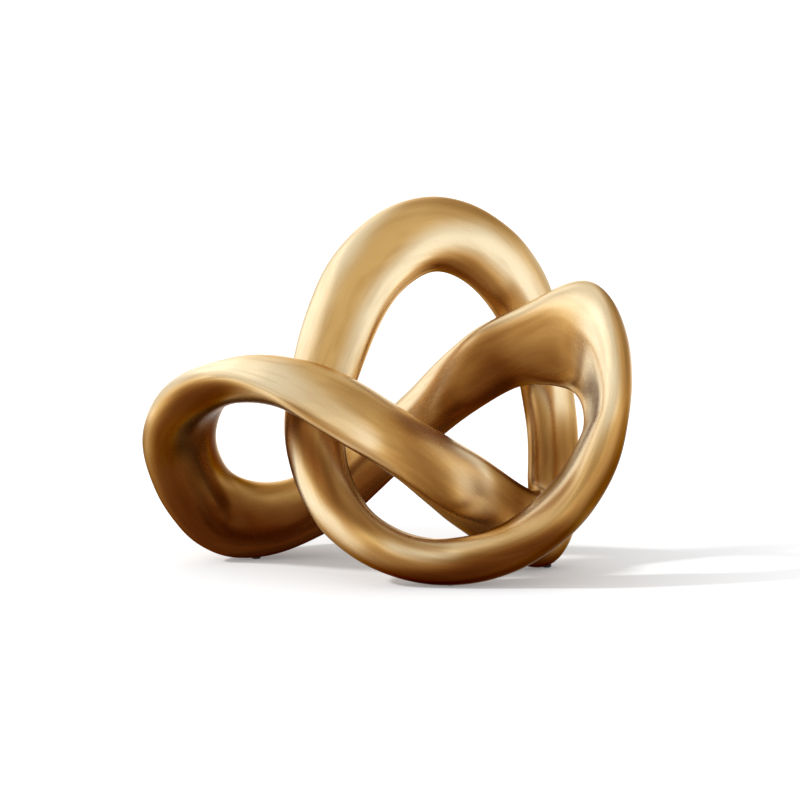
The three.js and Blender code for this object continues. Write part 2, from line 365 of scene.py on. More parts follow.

# %% [markdown]
# ## Brown strokes of painted shade
# Most of the brown is painted shade: it darkens faces that lie in shade and faces that mirror dark
# surroundings, and it also stands for an antique patina. It is thin in some places and thick in
# others. Texture paint would need a picture, so each stroke is written down as a row of places. It
# follows the band, and each place holds a station, how far on towards the next one, the angle round
# the section, how far the stroke spreads round it in degrees, and how thick the brown is there.
# Angle 0 is the section's first edge and 180 its second.

# %% Painted shade strokes
# Every stroke below lays painted shade.
PAINTED_SHADE_STROKES = [
    # front of the crown, near its outer edge
    [
        ("arch_rise", 0.7, 140, 20, 0.1), ("crown", 0.0, 135, 24, 0.15),
        ("crown", 0.5, 140, 20, 0.25), ("crown", 0.8, 140, 16, 0.15),
        ("shoulder", 0.0, 130, 14, 0.0),
    ],
    # inner edge of the arch
    [
        ("arch_rise", 0.4, -5, 40, 0.0), ("arch_rise", 0.75, 5, 30, 0.4),
        ("crown", 0.0, 8, 32, 0.8), ("crown", 0.25, 14, 36, 0.75), ("crown", 0.5, 20, 38, 0.7),
        ("shoulder", 0.0, 24, 38, 0.55), ("shoulder", 0.25, 22, 34, 0.45),
        ("shoulder", 0.4, -5, 24, 0.45), ("shoulder", 0.7, -12, 20, 0.2),
    ],
    # inner edge of the rear leg, down to the foot
    [
        ("leg_high", 0.3, -18, 24, 0.8), ("leg_high", 0.8, -16, 24, 0.85),
        ("leg_low", 0.0, -18, 20, 0.3), ("foot", 0.0, -25, 30, 0.7), ("foot", 0.5, -20, 30, 0.5),
        ("foot_base", 0.5, -10, 30, 0.0),
    ],
    # low on the face of the rear leg
    [
        ("leg_high", 0.85, 95, 34, 0.1), ("leg_low", 0.0, 95, 40, 0.25),
        ("leg_low", 0.25, 94, 44, 0.4), ("leg_low", 0.6, 88, 42, 0.48), ("heel", 0.0, 70, 42, 0.38),
        ("heel", 0.5, 60, 40, 0.35), ("foot", 0.5, 40, 40, 0.0),
    ],
    # beside the inner edge of the rear leg
    [
        ("leg_high", 0.4, 30, 14, 0.1), ("leg_low", 0.0, 34, 18, 0.45),
        ("leg_low", 0.5, 38, 24, 0.6), ("heel", 0.0, 38, 24, 0.5), ("heel", 0.8, 30, 22, 0.4),
        ("foot", 0.2, 25, 20, 0.0),
    ],
    # upper side of the diagonal's low end
    [
        ("foot_base", 0.3, 20, 40, 0.2), ("toe", 0.0, 32, 34, 0.65), ("toe", 0.4, 28, 32, 0.75),
        ("toe", 0.8, 36, 28, 0.5), ("diag_low", 0.1, 38, 24, 0.3), ("diag_low", 0.2, 38, 20, 0.0),
    ],
    # front of the diagonal's low end
    [
        ("toe", 0.1, 70, 30, 0.4), ("toe", 0.4, 66, 32, 0.85), ("diag_low", 0.0, 66, 24, 0.5),
        ("diag_low", 0.15, 64, 22, 0.0),
    ],
    # under the foot and along the lower half of the diagonal
    [
        ("foot", 0.5, 140, 40, 0.4), ("foot_base", 0.0, 165, 40, 1.2), ("toe", 0.0, 158, 50, 1.1),
        ("toe", 0.7, 142, 34, 0.75), ("diag_low", 0.0, 154, 30, 0.85),
        ("diag_low", 0.3, 168, 22, 0.4), ("diag_low", 0.6, 146, 42, 0.55),
        ("diag_low", 0.8, 138, 48, 0.5), ("diag_mid", 0.0, 125, 48, 0.36),
        ("diag_mid", 0.25, 112, 46, 0.22), ("diag_mid", 0.5, 82, 30, 0.15),
        ("diag_mid", 0.8, 78, 28, 0.15), ("diag_high", 0.1, 78, 24, 0.05),
    ],
    # thin line near the diagonal's lower edge
    [
        ("diag_mid", 0.1, 165, 10, 0.3), ("diag_mid", 0.4, 166, 9, 0.4),
        ("diag_high", 0.2, 166, 12, 0.4), ("diag_high", 0.4, 172, 12, 0.0),
    ],
    # inside the left loop, under it, up the riser and along the wide band
    [
        ("diag_high", 0.5, 212, 20, 0.2), ("diag_high", 0.8, 208, 22, 0.6),
        ("left_top", 0.0, 210, 29, 1.05), ("left_top", 0.25, 212, 38, 1.1),
        ("left_top", 0.5, 210, 44, 1.12), ("left_turn", 0.0, 210, 31, 0.92),
        ("left_turn", 0.25, 212, 28, 0.93), ("left_turn", 0.5, 222, 32, 0.95),
        ("left_side", 0.0, 220, 38, 1.0), ("left_side", 0.5, 212, 46, 1.15),
        ("left_base", 0.0, 205, 60, 1.2), ("left_base", 0.6, 194, 64, 1.25),
        ("under", 0.0, 184, 68, 1.2), ("under", 0.6, 182, 70, 1.12),
        ("rise_low", 0.0, 182, 72, 1.08), ("rise_low", 0.25, 185, 74, 0.8),
        ("rise_high", 0.0, 200, 40, 0.95), ("rise_high", 0.3, 208, 46, 0.95),
        ("rise_high", 0.6, 220, 62, 0.95), ("band", 0.0, 235, 80, 0.92),
        ("band", 0.4, 231, 62, 0.7), ("band", 0.7, 232, 58, 0.65), ("band_end", 0.0, 230, 48, 0.68),
        ("band_end", 0.5, 232, 45, 0.62), ("peak", 0.0, 232, 30, 0.15), ("turn", 0.0, 235, 30, 0.1),
    ],
    # deeper inside the left loop
    [
        ("left_top", 0.5, 252, 28, 0.1), ("left_turn", 0.0, 262, 30, 0.2),
        ("left_turn", 0.5, 256, 32, 0.35), ("left_side", 0.0, 246, 28, 0.8),
        ("left_side", 0.4, 246, 27, 0.76), ("left_base", 0.0, 260, 36, 0.75),
        ("left_base", 0.3, 257, 31, 0.7), ("left_base", 0.6, 247, 28, 0.78),
        ("under", 0.0, 241, 28, 0.72), ("rise_low", 0.0, 237, 26, 0.8),
        ("rise_low", 0.5, 255, 30, 0.4),
    ],
    # middle of the wide band
    [
        ("rise_high", 0.0, 246, 18, 0.35), ("rise_high", 0.4, 258, 24, 0.57),
        ("rise_high", 0.7, 276, 28, 0.47), ("band", 0.0, 305, 34, 0.6),
        ("band", 0.25, 303, 33, 0.57), ("band", 0.5, 297, 32, 0.42),
        ("band_end", 0.0, 290, 30, 0.34), ("band_end", 0.5, 280, 26, 0.22),
        ("peak", 0.0, 266, 24, 0.05),
    ],
    # rim round the left loop's hole
    [
        ("left_top", 0.3, 252, 12, 0.5), ("left_turn", 0.0, 270, 17, 1.05),
        ("left_turn", 0.3, 290, 18, 1.05), ("left_side", 0.0, 297, 17, 1.0),
        ("left_side", 0.35, 296, 16, 0.92), ("left_base", 0.0, 318, 12, 0.8),
        ("left_base", 0.4, 303, 16, 0.6), ("under", 0.0, 294, 18, 0.35),
        ("under", 0.75, 292, 18, 0.8), ("rise_low", 0.0, 290, 18, 0.1),
    ],
    # front edge of the left loop
    [
        ("left_turn", 0.2, 163, 13, 0.3), ("left_turn", 0.5, 166, 16, 0.55),
        ("left_side", 0.0, 174, 20, 0.62), ("left_side", 0.5, 168, 18, 0.85),
        ("left_base", 0.0, 165, 22, 0.9), ("left_base", 0.5, 162, 24, 0.9),
    ],
    # front edge on the right side
    [
        ("side", 0.1, 12, 20, 0.1), ("side", 0.5, 8, 24, 0.22), ("side", 0.9, 5, 22, 0.18),
        ("ring_right", 0.15, 5, 20, 0.0),
    ],
    # outer side from the peak down to the ring
    [
        ("peak", 0.0, 14, 16, 0.15), ("peak", 0.3, 15, 18, 0.38), ("turn", 0.0, 14, 20, 0.25),
        ("turn", 0.5, 20, 24, 0.28), ("fall", 0.0, 26, 26, 0.32), ("fall", 0.5, 38, 26, 0.38),
        ("side", 0.0, 58, 30, 0.55), ("side", 0.3, 62, 34, 0.72), ("side", 0.7, 58, 36, 0.75),
        ("ring_right", 0.0, 44, 36, 0.5), ("ring_right", 0.15, 37, 40, 0.92),
        ("ring_right", 0.35, 32, 40, 1.02), ("ring_right", 0.5, 33, 37, 0.98),
        ("ring_right", 0.75, 45, 34, 0.93), ("ring_base", 0.0, 52, 22, 0.5),
        ("ring_base", 0.4, 66, 22, 0.5), ("ring_base", 0.7, 72, 20, 0.3),
    ],
    # underside of the ring
    [
        ("side", 0.4, 74, 24, 0.4), ("ring_right", 0.0, 82, 28, 0.4),
        ("ring_right", 0.3, 68, 40, 0.75), ("ring_right", 0.6, 62, 46, 1.05),
        ("ring_right", 0.8, 72, 44, 1.25), ("ring_base", 0.0, 92, 44, 1.35),
        ("ring_base", 0.3, 104, 40, 1.1), ("ring_base", 0.7, 116, 32, 0.65),
        ("ring_left", 0.0, 126, 26, 0.4), ("ring_left", 0.4, 140, 26, 0.0),
    ],
    # inner side of the ring
    [
        ("side", 0.2, 258, 20, 0.2), ("side", 0.8, 257, 22, 0.8), ("ring_right", 0.1, 258, 22, 0.7),
        ("ring_right", 0.25, 265, 16, 0.0), ("ring_right", 0.35, 278, 14, 0.2),
        ("ring_right", 0.45, 284, 12, 1.1), ("ring_right", 0.65, 295, 11, 0.85),
        ("ring_right", 0.75, 299, 10, 0.0),
    ],
    # thin line inside the ring on the right
    [
        ("side", 0.7, 315, 9, 0.4), ("ring_right", 0.0, 315, 9, 0.55),
        ("ring_right", 0.2, 315, 9, 0.3), ("ring_right", 0.35, 315, 9, 0.0),
    ],
    # thin line inside the ring on the left
    [
        ("ring_base", 0.1, 314, 8, 0.8), ("ring_base", 0.5, 317, 10, 0.75),
        ("ring_base", 0.75, 324, 10, 0.8), ("ring_left", 0.0, 328, 11, 0.9),
        ("ring_left", 0.25, 337, 11, 0.8), ("ring_left", 0.5, 340, 11, 0.6),
        ("ring_left", 0.8, 340, 12, 0.3),
    ],
    # painted dark lane between the ring's painted highlights
    [
        ("ring_base", -0.1, 0, 10, 0.3), ("ring_base", 0.25, 6, 12, 0.35),
        ("ring_base", 0.5, 7, 12, 0.45), ("ring_left", 0.0, 6, 11, 0.65),
        ("ring_left", 0.17, 7, 12, 0.7), ("ring_left", 0.33, 14, 13, 0.6),
        ("ring_left", 0.5, 28, 13, 0.35), ("ring_left", 0.67, 44, 14, 0.45),
        ("ring_left", 0.85, 84, 18, 0.7), ("leg_front", 0.0, 90, 18, 0.6),
        ("leg_front", 0.3, 90, 20, 0.2),
    ],
    # middle of the front leg, a painted shadow where the diagonal crosses above it
    [
        ("ring_base", 0.6, 12, 14, 0.2), ("ring_base", 0.75, 22, 16, 0.4),
        ("ring_left", 0.0, 36, 20, 0.5), ("ring_left", 0.25, 48, 22, 0.62),
        ("ring_left", 0.5, 56, 22, 0.75), ("ring_left", 0.75, 68, 24, 0.85),
        ("leg_front", 0.0, 92, 22, 0.85), ("leg_front", 0.25, 100, 22, 0.5),
        ("leg_front", 0.4, 100, 24, 0.2),
    ],
    # thin line near the outer edge of the front leg
    [
        ("ring_left", 0.55, 142, 8, 0.2), ("ring_left", 0.7, 142, 8, 0.9),
        ("leg_front", 0.0, 142, 8, 0.5), ("leg_front", 0.3, 140, 8, 0.5),
    ],
]
print("brown strokes:", len(PAINTED_SHADE_STROKES))

# %% [markdown]
# ## Painted highlights
# Pale gold is painted where highlights and bright reflections fall. These strokes are written in
# the same way as the brown ones. The last number tells how pale the gold is painted.

# %% Painted highlight strokes
# Every stroke below lays a painted highlight.
PAINTED_HIGHLIGHT_STROKES = [
    # outer side of the arch on the left
    [
        ("leg_front", 0.6, 140, 38, 0.7), ("arch_left", 0.0, 140, 36, 0.9),
        ("arch_left", 0.5, 140, 36, 0.9), ("arch_rise", 0.0, 138, 32, 1.0),
        ("arch_rise", 0.25, 144, 28, 0.9), ("arch_rise", 0.5, 152, 26, 0.8),
        ("arch_rise", 0.8, 160, 16, 0.3), ("crown", 0.2, 160, 14, 0.0),
    ],
    # long painted highlight over the arch and down the rear leg
    [
        ("leg_front", 0.6, 36, 18, 0.6), ("arch_left", 0.0, 36, 18, 0.8),
        ("arch_left", 0.3, 37, 20, 1.0), ("arch_rise", 0.0, 36, 22, 1.0),
        ("arch_rise", 0.3, 41, 20, 1.0), ("arch_rise", 0.7, 53, 22, 1.0),
        ("crown", 0.0, 67, 21, 1.0), ("crown", 0.25, 77, 22, 1.0), ("crown", 0.5, 88, 26, 1.0),
        ("shoulder", 0.0, 88, 26, 1.0), ("shoulder", 0.3, 88, 30, 1.0),
        ("shoulder", 0.5, 68, 55, 1.0), ("leg_high", 0.4, 70, 48, 1.0),
        ("leg_high", 0.8, 82, 26, 0.7), ("leg_low", 0.1, 85, 20, 0.0),
    ],
    # outer edge at the shoulder
    [
        ("shoulder", 0.0, 152, 16, 0.6), ("shoulder", 0.5, 146, 14, 0.4),
    ],
    # inner edge of the rear leg
    [
        ("leg_high", 0.6, 8, 18, 0.9), ("leg_low", 0.0, 2, 18, 0.5), ("leg_low", 0.4, 0, 18, 0.1),
        ("heel", 0.0, 0, 18, 0.6), ("heel", 0.5, 2, 20, 0.8), ("foot", 0.0, 15, 25, 0.6),
        ("foot", 0.6, 15, 25, 0.0),
    ],
    # middle of the diagonal
    [
        ("diag_low", -0.1, 112, 30, 0.4), ("diag_low", 0.15, 105, 45, 1.0),
        ("diag_low", 0.35, 65, 50, 1.0), ("diag_low", 0.7, 48, 40, 1.0),
        ("diag_mid", 0.0, 48, 38, 1.0), ("diag_mid", 0.2, 44, 30, 0.7),
        ("diag_mid", 0.4, 36, 20, 0.7), ("diag_high", 0.0, 33, 16, 0.6),
    ],
    # lower edge of the diagonal
    [
        ("diag_mid", 0.1, 180, 18, 0.4), ("diag_mid", 0.5, 180, 18, 0.9),
        ("diag_high", 0.0, 195, 18, 0.9), ("diag_high", 0.5, 205, 22, 0.9),
        ("diag_high", 0.9, 230, 20, 0.9), ("left_top", 0.3, 236, 14, 0.5),
    ],
    # top of the left loop
    [
        ("diag_mid", 0.35, 140, 22, 0.0), ("diag_mid", 0.5, 145, 26, 0.8),
        ("diag_mid", 0.8, 130, 30, 0.35), ("diag_high", 0.1, 128, 36, 0.45),
        ("diag_high", 0.3, 124, 48, 0.7), ("diag_high", 0.5, 118, 62, 0.95),
        ("diag_high", 0.8, 115, 64, 1.0), ("left_top", 0.0, 116, 56, 1.0),
        ("left_top", 0.4, 114, 32, 1.0), ("left_turn", 0.0, 130, 25, 0.9),
        ("left_turn", 0.5, 175, 20, 0.25), ("left_side", 0.5, 182, 20, 0.0),
    ],
    # hidden inner side of the ring, painted pale so that it shows bright in reflections
    [
        ("side", 0.3, 215, 45, 0.6), ("ring_right", 0.3, 225, 45, 1.0),
        ("ring_right", 0.8, 240, 45, 1.0), ("ring_base", 0.2, 255, 40, 0.5),
    ],
    # upper edge of the wide band, over the peak and down the right side
    [
        ("rise_low", 0.6, 318, 34, 0.6), ("rise_high", 0.0, 309, 44, 0.75),
        ("rise_high", 0.4, 319, 40, 0.75), ("rise_high", 0.7, 341, 26, 0.65),
        ("band", 0.0, 348, 22, 0.65), ("band", 0.3, 346, 25, 0.85),
        ("band_end", 0.0, 343, 25, 0.85), ("band_end", 0.6, 340, 27, 0.78),
        ("peak", 0.0, 336, 29, 0.75), ("peak", 0.25, 327, 36, 0.82), ("peak", 0.6, 312, 50, 1.0),
        ("turn", 0.0, 307, 52, 1.0), ("fall", 0.0, 294, 50, 1.0), ("side", 0.0, 290, 40, 1.0),
        ("ring_right", 0.0, 295, 28, 0.85), ("ring_right", 0.25, 298, 22, 0.7),
        ("ring_right", 0.4, 305, 18, 0.3),
    ],
    # inner corner at the peak
    [
        ("peak", 0.0, 285, 26, 0.3), ("peak", 0.3, 282, 28, 0.65), ("peak", 0.6, 285, 36, 1.0),
        ("turn", 0.1, 290, 36, 1.0),
    ],
    # from the peak along the ring to the front leg
    [
        ("peak", 0.1, 346, 14, 0.8), ("peak", 0.6, 342, 18, 0.95), ("turn", 0.0, 334, 22, 1.0),
        ("turn", 0.6, 332, 22, 0.95), ("fall", 0.2, 335, 25, 0.92), ("fall", 0.6, 343, 28, 0.9),
        ("side", 0.0, 346, 24, 0.8), ("side", 0.3, 340, 18, 0.25), ("side", 0.6, 335, 14, 0.05),
        ("ring_right", 0.0, 335, 14, 0.1), ("ring_right", 0.5, 345, 22, 0.2),
        ("ring_base", 0.0, 340, 22, 0.7), ("ring_base", 0.3, 332, 18, 0.9),
        ("ring_base", 0.7, 345, 18, 1.0), ("ring_left", 0.1, 350, 18, 1.0),
        ("ring_left", 0.5, 365, 22, 0.9), ("ring_left", 0.9, 375, 30, 0.9),
        ("leg_front", 0.2, 380, 30, 0.6),
    ],
    # inner rim of the ring on the right
    [
        ("ring_right", 0.55, 312, 12, 0.3), ("ring_right", 0.75, 316, 12, 1.0),
        ("ring_base", 0.0, 316, 12, 1.0), ("ring_base", 0.2, 318, 10, 0.3),
    ],
    # front of the ring
    [
        ("ring_base", -0.2, 20, 22, 0.7), ("ring_base", 0.2, 25, 25, 0.7),
        ("ring_base", 0.5, 28, 22, 0.6),
    ],
    # lower edge of the wide band
    [
        ("band", 0.0, 195, 22, 0.6), ("band_end", 0.0, 194, 18, 0.9), ("peak", 0.0, 200, 18, 0.9),
        ("peak", 0.6, 215, 20, 0.6),
    ],
    # lower front of the ring, where it rises on the left
    [
        ("ring_base", 0.3, 90, 25, 0.3), ("ring_base", 0.6, 92, 25, 0.5),
        ("ring_left", 0.1, 85, 25, 0.8), ("ring_left", 0.3, 102, 25, 1.0),
        ("ring_left", 0.5, 112, 25, 1.0), ("ring_left", 0.8, 120, 24, 1.0),
        ("leg_front", 0.0, 124, 18, 0.9), ("leg_front", 0.3, 124, 14, 0.2),
    ],
]
print("rubbed strokes:", len(PAINTED_HIGHLIGHT_STROKES))

# %% [markdown]
# ## Lay the strokes on the band
# Each stroke is strongest along its middle and fades out round the section. Where two strokes
# meet, the stronger one counts, and the edges are softened as a brush would leave them. Hollows
# and undersides get painted shade of their own. Where the painted shade lies, the painted
# highlights are held back.

# %% Painted shade and painted highlight shares over the grid
STROKE_EDGE, STROKE_CORE = 1.4, 0.3
SOFT_ROUNDS = 6
# Painted shade on faces that look down and in hollows, the hollows partly patina.
UNDERSIDE_PAINTED_SHADE, HOLLOW_PATINA_AND_SHADE = 0.5, 0.1


def stroke_places(stroke):
    at = [NAMES.index(row[0]) + row[1] for row in stroke]
    for k in range(1, len(at)):
        while at[k] < at[k - 1]:
            at[k] += COUNT
    return at


def stroke_field(strokes):
    total = np.zeros((RINGS, SIDES))
    for stroke in strokes:
        at = stroke_places(stroke)
        knots = np.array([row[2:] for row in stroke], float)
        for r, place in enumerate(places):
            for along in (place, place + COUNT):
                if not at[0] <= along <= at[-1]:
                    continue
                angle, spread, strength = [np.interp(along, at, knots[:, c]) for c in range(3)]
                edge, core = STROKE_EDGE * spread, STROKE_CORE * spread
                mark = strength * ramp(degrees_from(angle), edge, core)
                total[r] = np.maximum(total[r], mark)
    return total


def soften(field):
    for _ in range(SOFT_ROUNDS):
        field = (np.roll(field, 1, 0) + np.roll(field, -1, 0) + 2 * field) / 4
        field = (np.roll(field, 1, 1) + np.roll(field, -1, 1) + 2 * field) / 4
    return field


# The brown strokes are painted shade; undersides and hollows add more painted shade.
stroked_shade = soften(stroke_field(PAINTED_SHADE_STROKES))
patina_and_painted_shade = np.maximum(stroked_shade, UNDERSIDE_PAINTED_SHADE * underside) + HOLLOW_PATINA_AND_SHADE * hollow
# Painted highlights, held back where painted shade lies.
painted_highlight = soften(stroke_field(PAINTED_HIGHLIGHT_STROKES)) * np.clip(1 - patina_and_painted_shade, 0, 1)
print("brown share %.2f, rubbed share %.2f" % (patina_and_painted_shade.mean(), painted_highlight.mean()))

# %% [markdown]
# ## Helpers for the finishes
# A finish in Blender is a small net of nodes. The helpers add one node each and return its
# output, so that a finish reads as a recipe. Typing each node out would hide the recipe.

# %% Node helpers
def new_material(name):
    material = bpy.data.materials.new(name)
    material.use_nodes = True
    return material, material.node_tree.nodes, material.node_tree.links


def add_node(nodes, kind, **settings):
    node = nodes.new(kind)
    for key, value in settings.items():
        setattr(node, key, value)
    return node


def feed(links, socket, value):
    if hasattr(value, "is_output"):
        links.new(value, socket)
    else:
        socket.default_value = value


def attribute_of(nodes, name):
    return add_node(nodes, "ShaderNodeAttribute", attribute_name=name)


def own_space(nodes):
    return add_node(nodes, "ShaderNodeTexCoord").outputs["Object"]


def noise_of(nodes, links, coords, scale, detail):
    node = add_node(nodes, "ShaderNodeTexNoise")
    node.inputs["Scale"].default_value = scale
    node.inputs["Detail"].default_value = detail
    links.new(coords, node.inputs["Vector"])
    return node.outputs["Fac"]


def map_range(nodes, links, value, given, wanted):
    node = add_node(nodes, "ShaderNodeMapRange")
    node.inputs["From Min"].default_value, node.inputs["From Max"].default_value = given
    node.inputs["To Min"].default_value, node.inputs["To Max"].default_value = wanted
    links.new(value, node.inputs["Value"])
    return node.outputs["Result"]


def combine(nodes, links, how, first, second, clamp=True):
    node = add_node(nodes, "ShaderNodeMath", operation=how, use_clamp=clamp)
    feed(links, node.inputs[0], first)
    feed(links, node.inputs[1], second)
    return node.outputs[0]


def mix_colour(nodes, links, share, first, second, how="MIX"):
    node = add_node(nodes, "ShaderNodeMix", data_type="RGBA", blend_type=how)
    for socket, value in ((0, share), (6, first), (7, second)):
        feed(links, node.inputs[socket], value)
    return node.outputs[2]


print("node helpers ready")

# %% [markdown]
# ## Satin antique gold
# The finish is gold plating over cast metal: a metal shader with a satin roughness. The gold
# drifts between a bright and a warm tone, and it is painted pale where highlights are painted.
# The brown, mostly painted shade, lies on top like a tinted film: each layer takes the same share
# of the light, so the film's colour is raised to its thickness. A thin film is umber and a thick
# one turns red-brown. The same brown also darkens the specular tint. Streaks run along the band,
# and casting pits are a very shallow bump. Mixing gold and brown paint would be simpler, but
# half-brown places would look dull.

# %% Gold finish
# The first colour is the pale gold of the painted highlights.
GOLD_HIGHLIGHT_PAINT = (0.98, 0.81, 0.53, 1)
GOLD_BRIGHT = (0.71, 0.445, 0.165, 1)
GOLD_WARM = (0.63, 0.37, 0.115, 1)
# The two film colours are the brown of the painted shade.
FILM_THIN = (0.15, 0.08, 0.038, 1)
FILM_THICK = (0.185, 0.075, 0.038, 1)
THIN_LIMIT = 0.5
EDGE_SHARE = 0.65
EDGE_TINT = (1.0, 0.95, 0.87, 1)
NOISE_SPREAD = (0.3, 0.7)
DRIFT_SCALE, DRIFT_DETAIL = 22.0, 4.0
DRIFT_SHARES = (0.15, 0.85)
STREAK_SCALE, STREAK_DETAIL = 4.5, 2.0
STREAK_DEPTHS = (-0.05, 0.05)
SATIN = (0.26, 0.3)
PIT_SCALE, PIT_DETAIL = 900.0, 2.0
PIT_STRENGTH, PIT_DEPTH = 0.03, 0.4 * MM


def film(nodes, links, colour, thickness):
    node = add_node(nodes, "ShaderNodeGamma")
    node.inputs["Color"].default_value = colour
    links.new(thickness, node.inputs["Gamma"])
    return node.outputs["Color"]


def plated_gold(nodes, links, coords):
    drift = noise_of(nodes, links, coords, DRIFT_SCALE, DRIFT_DETAIL)
    warmth = map_range(nodes, links, drift, NOISE_SPREAD, DRIFT_SHARES)
    gold = mix_colour(nodes, links, warmth, GOLD_BRIGHT, GOLD_WARM)
    # Painted highlights turn the gold pale.
    highlight_share = attribute_of(nodes, "painted_highlight").outputs["Fac"]
    return mix_colour(nodes, links, highlight_share, gold, GOLD_HIGHLIGHT_PAINT)


def painted_shade_film(nodes, links, streaks):
    # The painted shade share, partly patina.
    painted_shade_share = attribute_of(nodes, "patina_and_painted_shade").outputs["Fac"]
    uneven = map_range(nodes, links, streaks, NOISE_SPREAD, STREAK_DEPTHS)
    brown = combine(nodes, links, "ADD", painted_shade_share, uneven, clamp=False)
    thin = combine(nodes, links, "MINIMUM", brown, THIN_LIMIT)
    thick = combine(nodes, links, "SUBTRACT", brown, THIN_LIMIT)
    umber = film(nodes, links, FILM_THIN, thin)
    red_brown = film(nodes, links, FILM_THICK, thick)
    return mix_colour(nodes, links, 1.0, umber, red_brown, "MULTIPLY")


def casting_pits(nodes, links, coords):
    bump = add_node(nodes, "ShaderNodeBump")
    bump.inputs["Strength"].default_value = PIT_STRENGTH
    bump.inputs["Distance"].default_value = PIT_DEPTH
    links.new(noise_of(nodes, links, coords, PIT_SCALE, PIT_DETAIL), bump.inputs["Height"])
    return bump.outputs["Normal"]


def gold_finish():
    # This material carries the painted shade and the painted highlights.
    material, nodes, links = new_material("antique_gold")
    shader = nodes["Principled BSDF"]
    shader.inputs["Metallic"].default_value = 1.0
    coords = own_space(nodes)
    brushing = attribute_of(nodes, "brushing").outputs["Vector"]
    streaks = noise_of(nodes, links, brushing, STREAK_SCALE, STREAK_DETAIL)
    brown = painted_shade_film(nodes, links, streaks)
    colour = mix_colour(nodes, links, 1.0, plated_gold(nodes, links, coords), brown, "MULTIPLY")
    # The painted shade also darkens the specular tint.
    edge = mix_colour(nodes, links, EDGE_SHARE, EDGE_TINT, brown, "MULTIPLY")
    links.new(colour, shader.inputs["Base Color"])
    links.new(edge, shader.inputs["Specular Tint"])
    links.new(map_range(nodes, links, streaks, NOISE_SPREAD, SATIN), shader.inputs["Roughness"])
    links.new(casting_pits(nodes, links, coords), shader.inputs["Normal"])
    return material


GOLD = gold_finish()
print("finish:", GOLD.name, "nodes", len(GOLD.node_tree.nodes))

# %% [markdown]
# ## Where the castings meet
# A knotted closed loop can't leave a mould in one piece, so the band is cast in eight lengths.
# They meet on steel dowels and are ground flush, so the seams don't show. Each joint is a station
# and how far on towards the next one it lies.

# %% Joints and castings
JOINTS = {
    "front_leg_to_arch": ("leg_front", 0.5),
    "arch_to_rear_leg": ("leg_high", 0),
    "rear_leg_to_diagonal": ("toe", 0.5),
    "diagonal_to_left_loop": ("diag_high", 0),
    "left_loop_to_riser": ("under", 0),
    "riser_to_right_band": ("rise_low", 0.5),
    "right_band_to_ring": ("side", 0.5),
    "ring_to_front_leg": ("ring_left", 0.5),
}
CASTINGS = [
    ("arch_casting", "front_leg_to_arch", "arch_to_rear_leg"),
    ("rear_leg_casting", "arch_to_rear_leg", "rear_leg_to_diagonal"),
    ("diagonal_casting", "rear_leg_to_diagonal", "diagonal_to_left_loop"),
    ("left_loop_casting", "diagonal_to_left_loop", "left_loop_to_riser"),
    ("riser_casting", "left_loop_to_riser", "riser_to_right_band"),
    ("right_band_casting", "riser_to_right_band", "right_band_to_ring"),
    ("ring_casting", "right_band_to_ring", "ring_to_front_leg"),
    ("front_leg_casting", "ring_to_front_leg", "front_leg_to_arch"),
]


def ring_of(joint):
    station, share = JOINTS[joint]
    return int(np.argmin(np.abs(places - (NAMES.index(station) + share))))


def rings_of(start, end):
    first, last = ring_of(start), ring_of(end)
    if last <= first:
        last += RINGS
    return np.arange(first, last + 1) % RINGS


print("joints:", {joint: ring_of(joint) for joint in JOINTS})

# %% [markdown]
# ## Which way the streaks run
# The streaks in the brown and in the roughness are long along the band and short across it.
# A noise in plain space has no direction. So each point also gets a place on the band itself: two
# numbers go round the section and the third runs along the band, more slowly.

# %% Places on the band for the streaks
LENGTHWISE = 8.0
strides = np.linalg.norm(np.roll(spine, -1, 0) - spine, axis=1)
LENGTH = strides.sum()
first_ring = ring_of("arch_to_rear_leg")
travelled = np.roll(np.cumsum(np.roll(strides, -first_ring)), first_ring + 1)
travelled[first_ring] = 0.0


def brushing_of(kept):
    run = travelled[kept]
    if run[-1] == 0:
        run[-1] = LENGTH
    spots = np.zeros((len(kept), SIDES, 3))
    spots[:, :, 0] = cos_turn
    spots[:, :, 1] = sin_turn
    spots[:, :, 2] = LENGTHWISE * run[:, None]
    return np.vstack([spots.reshape(-1, 3), np.zeros((2, 3))])


print("length of the band: %.3f m" % LENGTH)

# %% [markdown]
# ## The eight castings
# Each casting is cut from the one lofted grid and closed at both ends. It keeps the grid's own
# normals, so the reflection runs across every seam without a step. The painted shade and painted
# highlight shares and the places for the streaks go along as attributes, which the finish reads.

# %% Cut the grid into the castings
# Painted shade and painted highlights travel with each casting.
FINISH_FIELDS = [("patina_and_painted_shade", patina_and_painted_shade, 1.0), ("painted_highlight", painted_highlight, 0.0)]


def end_faces(rings):
    tail = (rings - 1) * SIDES
    heart = rings * SIDES
    faces = []
    for k in range(SIDES):
        n = (k + 1) % SIDES
        faces.append((heart, k, n))
        faces.append((heart + 1, tail + n, tail + k))
    return faces


def casting_mesh(name, kept):
    hearts = spine[[kept[0], kept[-1]]]
    ends = hearts - spine[[kept[1], kept[-2]]]
    ends /= np.linalg.norm(ends, axis=1)[:, None]
    points = np.vstack([skin[kept].reshape(-1, 3), hearts])
    aims = np.vstack([normals[kept].reshape(-1, 3), ends])
    faces = band_quads(len(kept) - 1, len(kept)) + end_faces(len(kept))
    mesh = bpy.data.meshes.new(name)
    mesh.from_pydata(points.tolist(), [], faces)
    mesh.polygons.foreach_set("use_smooth", [True] * len(mesh.polygons))
    mesh.normals_split_custom_set_from_vertices(aims.tolist())
    return mesh


